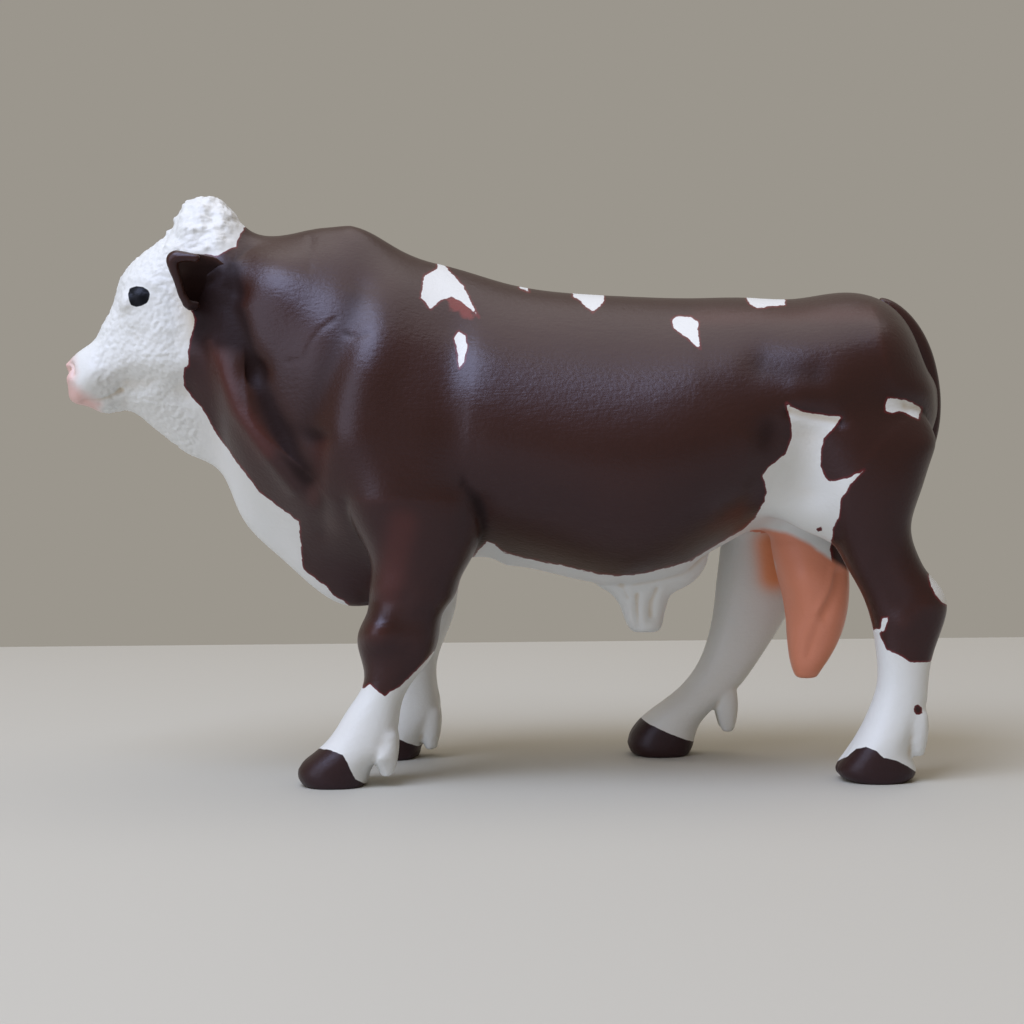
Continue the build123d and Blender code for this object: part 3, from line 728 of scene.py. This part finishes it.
# Sizes of the grain in millimetres: grit of the paint, ragged edges, cloudy colour
GRIT, RAGS, CLOUDS = 0.6, 1.2, 9.0
grain = {}
for size in (GRIT, RAGS, CLOUDS):
    texture = node(coat, "ShaderNodeTexNoise", {"Vector": where, "Scale": 1 / (size * MM), "Detail": 3.0})
    grain[size] = texture.outputs[0]
MASKS = {
    # mask: field, value where it starts, value where it is full, strength, raggedness in millimetres
    "white": ("white", -0.04, 0.05, 1.0, 0.55),
    "rim": ("white", -0.40, 0.0, 0.75, 0.55),
    "thin": ("thin", -0.4, 0.3, 0.8, 1.2),
    # reddish painted highlight along ridges
    "red_highlight": ("red_highlight", 0.0, 1.0, 0.45, 0.0),
    # dark wash in the hollows, deepened into painted shade in the grooves and under the ear
    "wash_and_shade": ("hollow", 0.0, 0.22, 0.8, 0.0),
    # lighter brown where the skin bulges: a painted highlight on ridges and domes
    "ridge_highlight": ("hollow", 0.0, -0.2, 0.3, 0.0),
    "nose": ("pink", -1.3, 0.9, 0.78, 0.6),
    "spray": ("blush", 0.0, 1.0, 0.95, 0.0),
    "flesh": ("flesh", -0.5, 0.4, 1.0, 0.3),
    "hoof": ("hoof", -0.05, 0.05, 1.0, 0.3),
    "eye": ("eye", -0.06, 0.06, 1.0, 0.0),
}
share = {}
for mask, (field, low, high, strength, ragged) in MASKS.items():
    value = node(coat, "ShaderNodeAttribute", attribute_name=field).outputs["Fac"]
    frayed = {0: grain[RAGS], 1: ragged, 2: value}
    value = node(coat, "ShaderNodeMath", frayed, operation="MULTIPLY_ADD").outputs[0]
    edge = {"From Min": low + ragged / 2, "From Max": high + ragged / 2}
    limits = {"Value": value, **edge, "To Max": strength}
    share[mask] = node(coat, "ShaderNodeMapRange", limits, interpolation_type="SMOOTHSTEP").outputs[0]
print("masks:", list(share))

# %% Coats of paint
# Brown: cloudy tone, a painted highlight on ridges, reddish painted highlights, the dark wash with its painted
# shade, red rims at the white and thin paint
BROWN = [
    (grain[CLOUDS], "#361a10"), (share["ridge_highlight"], "#532b21"), (share["red_highlight"], "#5a2a21"),
    (share["wash_and_shade"], "#180a07"), (share["rim"], "#6e1d20"), (share["thin"], "#7a2f29"),
]
# White: cloudy tone, creamy painted shade in the hollows and orange spray
WHITE = [(grain[CLOUDS], "#dadede"), (share["wash_and_shade"], "#cdc3b2"), (share["spray"], "#ef9c68")]
COATS = [("nose", "#dbaca4"), ("flesh", "#dd8f72"), ("hoof", "#2a130e"), ("eye", "#0b0c0f")]
layers = []
for base, tints in (("#2e140a", BROWN), ("#e0e2e2", WHITE)):
    colour = linear(base)
    for amount, tint in tints:
        mix = node(coat, "ShaderNodeMix", {0: amount, 6: colour, 7: linear(tint)}, data_type="RGBA")
        colour = mix.outputs[2]
    layers.append(colour)
both = {0: share["white"], 6: layers[0], 7: layers[1]}
colour = node(coat, "ShaderNodeMix", both, data_type="RGBA").outputs[2]
for mask, tint in COATS:
    over = {0: share[mask], 6: colour, 7: linear(tint)}
    colour = node(coat, "ShaderNodeMix", over, data_type="RGBA").outputs[2]
print("coats of paint:", len(BROWN), len(WHITE), len(COATS))

# %% Satin finish
# Roughness and gloss of bare paint, and how much each mask adds
rough, gloss = 0.29, 0.45
ROUGHER = [(grain[GRIT], 0.10), (share["white"], 0.08), (share["wash_and_shade"], 0.30), (share["eye"], -0.10)]
GLOSSIER = [(share["wash_and_shade"], -0.30), (share["eye"], -0.25)]
for amount, change in ROUGHER:
    added = {0: amount, 1: change, 2: rough}
    rough = node(coat, "ShaderNodeMath", added, operation="MULTIPLY_ADD").outputs[0]
for amount, change in GLOSSIER:
    added = {0: amount, 1: change, 2: gloss}
    gloss = node(coat, "ShaderNodeMath", added, operation="MULTIPLY_ADD").outputs[0]
# Combed hair lies back and down; its real width is about 0.1 mm, drawn wider here so that it shows.
HAIR_WIDTH, HAIR_SLANT, HAIR_STRETCH, HAIR_SHARE = 0.4, math.radians(35), (0.2, 1, 1), 0.6
BUMP_STRENGTH, BUMP_HEIGHT = 0.35, 0.12
combed = {"Vector": where, "Rotation": (0, HAIR_SLANT, 0), "Scale": HAIR_STRETCH}
turned = node(coat, "ShaderNodeMapping", combed).outputs[0]
hair = node(coat, "ShaderNodeTexNoise", {"Vector": turned, "Scale": 1 / (HAIR_WIDTH * MM), "Detail": 2.0})
rough_hair = {0: hair.outputs[0], 1: HAIR_SHARE, 2: grain[GRIT]}
relief = node(coat, "ShaderNodeMath", rough_hair, operation="MULTIPLY_ADD").outputs[0]
raised = {"Strength": BUMP_STRENGTH, "Distance": BUMP_HEIGHT * MM, "Height": relief}
bump = node(coat, "ShaderNodeBump", raised)
paint_shader = coat.nodes["Principled BSDF"]
paint_shader.inputs["Specular Tint"].default_value = linear("#e4e8ff")
sockets = {"Base Color": colour, "Roughness": rough, "Specular IOR Level": gloss, "Normal": bump.outputs[0]}
for name, socket in sockets.items():
    coat.links.new(socket, paint_shader.inputs[name])
print("paint nodes:", len(coat.nodes))

# %% [markdown]
# ## Cutting the skin at the joints
#
# The real figure's joints are hidden under the paint. The skin is cut along the same planes as the solids:
# the tilted head seat, a level plane at each leg and underpart, and the middle plane of the body. A Boolean
# would also cut it, but Bisect keeps the stored paint. Each cut gets a flat cap, so every piece is a closed
# body, and the uncut skin's normals are kept along the rims, so no seam shows in the shading.

# %% Cutting tools


def score(bm, point, normal, wanted):
    """Adds edges along a plane, only among the wanted faces."""
    faces = [f for f in bm.faces if wanted(f.calc_center_median())]
    geometry = list({v for f in faces for v in f.verts}) + list({e for f in faces for e in f.edges}) + faces
    bmesh.ops.bisect_plane(bm, geom=geometry, dist=1e-7, plane_co=point, plane_no=normal)


def part_of(bm, wanted):
    """A closed copy of the wanted faces, with flat caps over its cuts."""
    copy = bm.copy()
    spare = [f for f in copy.faces if not wanted(f.calc_center_median())]
    bmesh.ops.delete(copy, geom=spare, context="FACES")
    rims = [e for e in copy.edges if e.is_boundary]
    for edge in rims:
        edge.smooth = False
    for cap in bmesh.ops.holes_fill(copy, edges=rims, sides=0)["faces"]:
        cap.smooth = False
    bmesh.ops.recalc_face_normals(copy, faces=copy.faces)
    return copy


def below(name, height, x_range, y_range):
    """A piece that hangs below a level plane: its name, the plane's height, a test for places in it."""

    def inside(place, margin=0.0):
        x, y, z = place / MM
        return z < height + margin and x_range[0] < x < x_range[1] and y_range[0] < y < y_range[1]

    return name, height, inside


# %% Cutting
SEAT_TILT = math.radians(10)
SEAT_POINT = Vector((-0.04199, 0, 0.06599))
SEAT_NORMAL = Vector((math.cos(SEAT_TILT), 0, -math.sin(SEAT_TILT)))
# Rear limit of the neck, half width of the strip at the seam, in metres
NECK_END, SEAM_HALF = -0.03, 0.002
# Room before and behind a leg's solid, and above a level cut, in millimetres
LEG_ROOM, CUT_ROOM, OUTSIDE = 4, 2.0, 99
hanging = [below("sheath", 29.0, (8, 34), (-5, 5)), below("scrotum", 35.0, (37, 58), (-6.9, 6.9))]
for leg in LEGS:
    kind, side = leg.split("_")
    low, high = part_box(leg)
    across = (-OUTSIDE, -INNER_SIDES[kind]) if side == "left" else (INNER_SIDES[kind], OUTSIDE)
    hanging.append(below(leg, JOINT_HEIGHTS[kind], (low.x / MM - LEG_ROOM, high.x / MM + LEG_ROOM), across))


def in_head(place):
    return (place - SEAT_POINT).dot(SEAT_NORMAL) < 0 and place.x < NECK_END


skin.polygons.foreach_set("use_smooth", np.ones(len(skin.polygons), dtype=bool))
uncut = skin.attributes.new("flow", "FLOAT_VECTOR", "POINT")
uncut.data.foreach_set("vector", clay.normals.astype(np.float32).ravel())
whole = bmesh.new()
whole.from_mesh(skin)
for _, height, inside in hanging:
    score(whole, Vector((0, 0, height * MM)), Vector((0, 0, 1)), lambda p: inside(p, CUT_ROOM))
score(whole, SEAT_POINT, SEAT_NORMAL, lambda p: p.x < NECK_END)
cut = {"head": part_of(whole, in_head)}
for name, _, inside in hanging:
    cut[name] = part_of(whole, inside)
trunk = part_of(whole, lambda p: not in_head(p) and not any(inside(p) for _, _, inside in hanging))
score(trunk, Vector((0, 0, 0)), Vector((0, 1, 0)), lambda p: abs(p.y) < SEAM_HALF)
cut["body_left"] = part_of(trunk, lambda p: p.y < 0)
cut["body_right"] = part_of(trunk, lambda p: p.y > 0)
whole.free()
trunk.free()
print("cut pieces:", {name: len(bm.faces) for name, bm in cut.items()})

# %% [markdown]
# ## Hair on the head
#
# The poll carries tight curls and the face a short nap, both moulded in. Single strands would look like fur,
# so a small Geometry Nodes tree pushes the surface out along its normals instead: round clumps for the
# curls and finer lumps for the nap. The head's mesh is refined first, so that they hold their shape.

# %% Hair relief tree
hair_tree = bpy.data.node_groups.new("hair_relief", "GeometryNodeTree")
hair_tree.interface.new_socket("Geometry", in_out="INPUT", socket_type="NodeSocketGeometry")
HAIR_SIZES = {"Curl height": 1.3 * MM, "Curl size": 1.9 * MM, "Nap height": 0.55 * MM, "Nap size": 0.85 * MM}
for name, value in HAIR_SIZES.items():
    size_input = hair_tree.interface.new_socket(name, in_out="INPUT", socket_type="NodeSocketFloat")
    size_input.default_value = value
hair_tree.interface.new_socket("Paint", in_out="INPUT", socket_type="NodeSocketMaterial")
hair_tree.interface.new_socket("Geometry", in_out="OUTPUT", socket_type="NodeSocketGeometry")
given = node(hair_tree, "NodeGroupInput").outputs
spot = node(hair_tree, "GeometryNodeInputPosition").outputs[0]
push = 0.0
for kind, texture, settings, out, middle in (
    ("Curl", "ShaderNodeTexVoronoi", {"feature": "SMOOTH_F1"}, "Distance", -0.45),
    ("Nap", "ShaderNodeTexNoise", {}, 0, 0.5),
):
    inverse = {0: 1.0, 1: given[kind + " size"]}
    scale = node(hair_tree, "ShaderNodeMath", inverse, operation="DIVIDE").outputs[0]
    lumps = node(hair_tree, texture, {"Vector": spot, "Scale": scale}, **settings).outputs[out]
    centred = {0: lumps, 1: -1.0 if middle < 0 else 1.0, 2: -middle}
    rise = node(hair_tree, "ShaderNodeMath", centred, operation="MULTIPLY_ADD").outputs[0]
    amount = node(hair_tree, "GeometryNodeInputNamedAttribute", {"Name": kind.lower()}).outputs["Attribute"]
    for factor in (given[kind + " height"], amount):
        rise = node(hair_tree, "ShaderNodeMath", {0: rise, 1: factor}, operation="MULTIPLY").outputs[0]
    push = node(hair_tree, "ShaderNodeMath", {0: rise, 1: push}, operation="ADD").outputs[0]
outward = node(hair_tree, "GeometryNodeInputNormal").outputs[0]
offset = node(hair_tree, "ShaderNodeVectorMath", {0: outward, "Scale": push}, operation="SCALE").outputs[0]
grown = {"Geometry": given["Geometry"], "Offset": offset}
moved = node(hair_tree, "GeometryNodeSetPosition", grown).outputs[0]
plain = node(hair_tree, "GeometryNodeRealizeInstances", {"Geometry": moved}).outputs[0]
painted = {"Geometry": plain, "Material": given["Paint"]}
coated = node(hair_tree, "GeometryNodeSetMaterial", painted).outputs[0]
node(hair_tree, "NodeGroupOutput", {0: coated})
print("hair relief nodes:", len(hair_tree.nodes))

# %% Haired head
head_bm = cut.pop("head")
fine = [e for e in head_bm.edges if not any(len(f.verts) > 4 for f in e.link_faces)]
bmesh.ops.subdivide_edges(head_bm, edges=fine, cuts=1, use_grid_fill=True, smooth=1.0)
head_mesh = bpy.data.meshes.new("head_fine")
head_bm.to_mesh(head_mesh)
head_bm.free()
head_clay = Clay(head_mesh)
places = seen(head_clay.near_side()[0])
seat = (head_clay.points * MM - np.array(SEAT_POINT)) @ np.array(SEAT_NORMAL) / MM
POLL = [(158, 258), (150, 238), (182, 180), (240, 170), (262, 240), (205, 256)]
# Bare strip at the seat and its fade in millimetres; end of the bare muzzle and fades in pixels
SEAT_STRIP, SEAT_FADE, MUZZLE_END, MUZZLE_FADE, POLL_FADE, NAP_FADE = 0.6, 2.5, 104, 20, 9, 14
inset = np.clip((-seat - SEAT_STRIP) / SEAT_FADE, 0, 1)
bare = np.exp(-((line_distance(places, [EYE_MIDDLE]) / EYE_REACH) ** 2))
bare = np.maximum(bare, np.clip((MUZZLE_END - places[:, 0]) / MUZZLE_FADE, 0, 1))
zones = {
    "curl": np.clip(inside_distance(places, POLL) / POLL_FADE, 0, 1) * inset,
    "nap": np.clip(inside_distance(places, FACE_WHITE) / NAP_FADE, 0, 1) * inset * (1 - bare),
}
for name, values in zones.items():
    stored = head_mesh.attributes.new(name, "FLOAT", "POINT")
    stored.data.foreach_set("value", values.astype(np.float32))
holder = bpy.data.objects.new("hair_source", head_mesh)
bpy.context.scene.collection.objects.link(holder)
relief_step = holder.modifiers.new("hair", "NODES")
relief_step.node_group = hair_tree
for item in hair_tree.interface.items_tree:
    if item.in_out == "INPUT" and item.name == "Paint":
        relief_step[item.identifier] = plastic
evaluated = holder.evaluated_get(bpy.context.evaluated_depsgraph_get())
finished = {"head": bpy.data.meshes.new_from_object(evaluated)}
bpy.data.objects.remove(holder)
print("head points:", len(finished["head"].vertices))

# %% [markdown]
# ## Ears and tail
#
# Each ear is a leaf with a thick lip along its rim and a hollow that runs into the neck behind it. It is
# built as a grid between its rim and its root, both read off the photograph, and given thickness. A row of
# balls makes the lip, and the wrap joins both and rounds the edges better than Solidify would. The tail
# keeps its own solid's shape.

# %% Ears and tail
EAR_RIM = [
    (190, 254), (182, 251), (175, 250), (169, 252), (166, 257), (168, 265), (172, 274), (176, 286),
    (179, 297), (183, 306), (189, 311), (197, 309),
]
EAR_ROOT = [(204, 254), (215, 257), (226, 265), (229, 278), (225, 292), (215, 303), (205, 310)]
# Middle of the thick lip along the rim
EAR_LIP = [
    (196, 258), (186, 257), (176, 257), (172, 260), (174, 270), (178, 282), (182, 295), (188, 304),
    (196, 305),
]
# Leaf in millimetres: half thickness, run from rim to root, place of the rim, turn of its lower end, fold
EAR_HALF, EAR_SPAN, EAR_OUT, EAR_TURN, EAR_FOLD = 1.3, 7.2, -15.6, 3.4, 1.2
# Grid points down and inward, share of the leaf over which its edge is rounded
EAR_DOWN, EAR_INWARD, EAR_ROUND = 25, 19, 0.2
# Lip: balls and their radius in millimetres; the swelling's height, place and length along it
LIP_BALLS, LIP_RADIUS, SWELL, SWELL_PLACE, SWELL_LENGTH = 60, 0.6, 0.35, 0.3, 0.15
# Spacing of the wrap for small pieces, in millimetres
FINE_SPACING = 0.24


def spread(path, shares):
    """Points at given shares of a line's length."""
    path = np.array(path, dtype=float)
    lengths = np.concatenate([[0], np.cumsum(np.linalg.norm(np.diff(path, axis=0), axis=1))])
    return np.stack([np.interp(shares * lengths[-1], lengths, axis) for axis in path.T], axis=1)


def ear_leaf(side):
    """The ear's leaf as a closed mesh; side is 1 for the left ear and -1 for the right one."""
    down, inward = np.linspace(0, 1, EAR_DOWN), np.linspace(0, 1, EAR_INWARD)
    rim, root = spread(EAR_RIM, down), spread(EAR_ROOT, down)
    rim_depth = EAR_OUT + EAR_TURN * down**1.5
    fold = EAR_FOLD * np.clip(1 - 8 * down, 0, 1)
    ends = np.clip(16 * down * (1 - down), 0, 1)
    bm = bmesh.new()
    layers = []
    for face in (-1, 1):
        rows = []
        for step in inward:
            depth = rim_depth + EAR_SPAN * (1 - (1 - step) ** 2.0) + fold
            edge = np.sqrt(np.clip(1 - (1 - np.minimum(1, step / EAR_ROUND)) ** 2, 0, 1) * ends)
            points = placed(rim * (1 - step) + root * step, depth + face * EAR_HALF * edge) * [1, side, 1]
            rows.append([bm.verts.new(point) for point in points * MM])
        layers.append(rows)
    for rows in layers:
        for first, second in zip(rows[:-1], rows[1:]):
            for i in range(len(first) - 1):
                bm.faces.new((first[i], first[i + 1], second[i + 1], second[i]))
    for i in range(len(down) - 1):
        bm.faces.new((layers[0][-1][i], layers[0][-1][i + 1], layers[1][-1][i + 1], layers[1][-1][i]))
    bmesh.ops.remove_doubles(bm, verts=bm.verts, dist=WELD)
    bmesh.ops.recalc_face_normals(bm, faces=bm.faces)
    beads = np.linspace(0, 1, LIP_BALLS)
    middles = placed(spread(EAR_LIP, beads), np.interp(beads, down, rim_depth)) * [1, side, 1]
    for along, point in zip(beads, middles):
        radius = LIP_RADIUS + SWELL * math.exp(-(((along - SWELL_PLACE) / SWELL_LENGTH) ** 2))
        ball = Matrix.Translation(Vector(point * MM))
        bmesh.ops.create_icosphere(bm, subdivisions=2, radius=radius * MM, matrix=ball)
    mesh = bpy.data.meshes.new("ear_leaf")
    bm.to_mesh(mesh)
    bm.free()
    return mesh


# Name, mesh to wrap, passes of smoothing
SMALL = [("ear_left", ear_leaf(1), 8), ("ear_right", ear_leaf(-1), 8), ("tail", joined(["tail"]), 14)]
for name, source, passes in SMALL:
    small = Clay(wrapped(source, FINE_SPACING))
    small.relax(passes)
    paint(small, -1)
    finished[name] = small.mesh
    print(name, "points:", len(small.points))

# %% [markdown]
# ## Finished pieces
#
# Every piece takes the place of its CAD node and rides on the one rigid body. Only the core inside the body
# keeps its solid; it is bare plastic that the paint never reached.

# %% Pieces
for name, bm in cut.items():
    finished[name] = bpy.data.meshes.new(name)
    bm.to_mesh(finished[name])
    bm.free()


def keep_flow(mesh):
    """Gives the skin along a cut the normals that it had before it was cut."""
    flow = np.empty(len(mesh.vertices) * 3, dtype=np.float32)
    mesh.attributes["flow"].data.foreach_get("vector", flow)
    flow = flow.reshape(-1, 3)
    at_rim = np.zeros(len(mesh.vertices), dtype=bool)
    for edge in mesh.edges:
        if edge.use_edge_sharp:
            at_rim[list(edge.vertices)] = True
    corners = np.empty(len(mesh.loops), dtype=np.int32)
    mesh.loops.foreach_get("vertex_index", corners)
    soft = np.empty(len(mesh.polygons), dtype=bool)
    mesh.polygons.foreach_get("use_smooth", soft)
    sizes = np.empty(len(mesh.polygons), dtype=np.int32)
    mesh.polygons.foreach_get("loop_total", sizes)
    wanted = at_rim[corners] & np.repeat(soft, sizes)
    mesh.normals_split_custom_set(np.where(wanted[:, None], flow[corners], 0.0))


for name, mesh in finished.items():
    mesh.name = name + "_skin"
    mesh.materials.clear()
    mesh.materials.append(plastic)
    if "flow" in mesh.attributes:
        keep_flow(mesh)
    else:
        mesh.polygons.foreach_set("use_smooth", np.ones(len(mesh.polygons), dtype=bool))
    for spare in ("flow", "curl", "nap"):
        if spare in mesh.attributes:
            mesh.attributes.remove(mesh.attributes[spare])
    piece = bpy.data.objects.new(name + "_skin", mesh)
    bpy.context.scene.collection.objects.link(piece)
    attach(piece, "root")
    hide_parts(name)
print("pieces:", sorted(finished))

# %% Core
# Moulded polystyrene without paint: dull, even grey with faint flow marks.
core_plastic = bpy.data.materials.new("bare_polystyrene")
core_plastic.use_nodes = True
core = core_plastic.node_tree
core_where = node(core, "ShaderNodeTexCoord").outputs["Object"]
FLOW_MARK = 4
marks = node(core, "ShaderNodeTexNoise", {"Vector": core_where, "Scale": 1 / (FLOW_MARK * MM)}).outputs[0]
greys = {0: marks, 6: linear("#8f8a80"), 7: linear("#a09a8f")}
grey = node(core, "ShaderNodeMix", greys, data_type="RGBA").outputs[2]
core.links.new(grey, core.nodes["Principled BSDF"].inputs["Base Color"])
core.nodes["Principled BSDF"].inputs["Roughness"].default_value = 0.55
nodes["body_core"].data.materials.clear()
nodes["body_core"].data.materials.append(core_plastic)
print("core material:", core_plastic.name)
